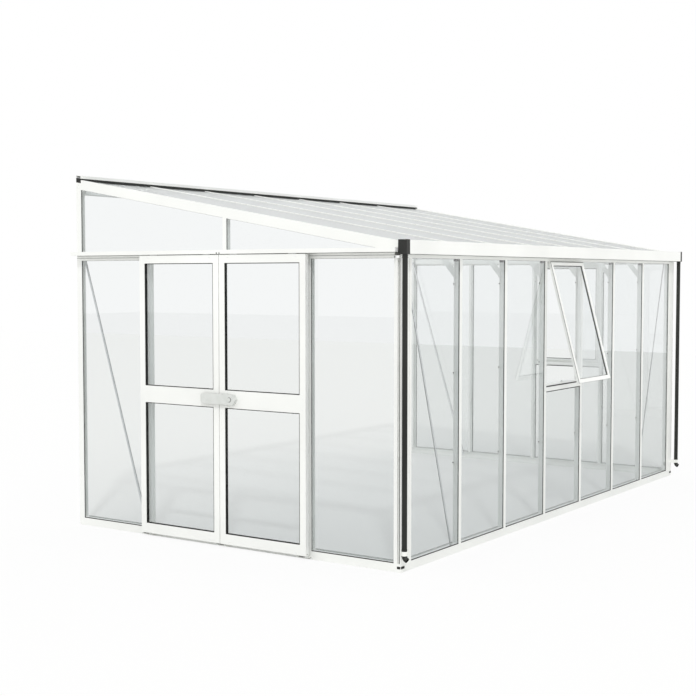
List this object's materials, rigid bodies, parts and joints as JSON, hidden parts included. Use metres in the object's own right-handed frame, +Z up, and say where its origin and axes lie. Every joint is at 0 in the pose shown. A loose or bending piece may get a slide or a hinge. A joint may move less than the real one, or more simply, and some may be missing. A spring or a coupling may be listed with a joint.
{
  "type": "lean-to greenhouse",
  "caption": "White aluminium lean-to greenhouse, glazed on three sides and open at the back, with sliding doors in one gable, a gutter with downpipes and top-hung vents.",
  "frame": {"origin": "centre of the bounding box at ground level", "axes": "+X along the low glazed front from the gable with the sliding doors to the far gable, +Y from the low front to the house wall, +Z up"},
  "size_m": [4.6512, 2.9076, 2.4501],
  "materials": {
    "frame_white": "white powder coat, satin",
    "glass": "clear toughened glass",
    "roof_sheet": "clear twin-wall polycarbonate sheet",
    "seal_rubber": "black rubber seal",
    "downpipe_black": "anthracite plastic pipe",
    "clip_white": "white moulded plastic",
    "latch_grey": "pale grey moulded plastic",
    "bare_aluminium": "mill-finish aluminium strip"
  },
  "bodies": {
    "frame": {"front_sill": "frame_white", "near_gable_sill": "frame_white", "far_gable_sill": "frame_white", "near_corner_post": "frame_white", "far_corner_post": "frame_white", "wall_posts": "frame_white", "front_mullions": "frame_white", "gutter_beam": "frame_white", "near_gable_rafter": "frame_white", "far_gable_rafter": "frame_white", "roof_bars": "frame_white", "roof_panels": "roof_sheet", "wall_plate": "frame_white", "wall_seal": "seal_rubber", "wall_flashing": "frame_white", "near_transom": "frame_white", "far_transom": "frame_white", "door_jambs": "frame_white", "far_gable_posts": "frame_white", "gable_upper_bars": "frame_white", "door_track": "frame_white", "front_glass": "glass", "gable_side_glass": "glass", "gable_top_glass": "glass", "vent_cross_bars": "frame_white", "vent_frames": "frame_white", "front_vent_sash": "frame_white", "far_vent_sash": "frame_white", "vent_glass": "glass", "vent_stay": "bare_aluminium", "knee_braces": "frame_white", "wind_braces": "bare_aluminium", "gutter_outlets": "downpipe_black", "downpipes": "downpipe_black", "pipe_clips": "clip_white", "door_guides": "frame_white"},
    "left_door": {"left_door_frame": "frame_white", "left_door_glass": "glass", "left_door_hangers": "bare_aluminium"},
    "right_door": {"right_door_frame": "frame_white", "right_door_glass": "glass", "right_door_hangers": "bare_aluminium", "door_latch": "latch_grey"}
  },
  "joints": [
    {"name": "left_door_slide", "type": "slide", "parent": "frame", "child": "left_door", "axis": [0, 1, 0], "range_m": [0, 0.6]},
    {"name": "right_door_slide", "type": "slide", "parent": "frame", "child": "right_door", "axis": [0, -1, 0], "range_m": [0, 0.6]}
  ]
}
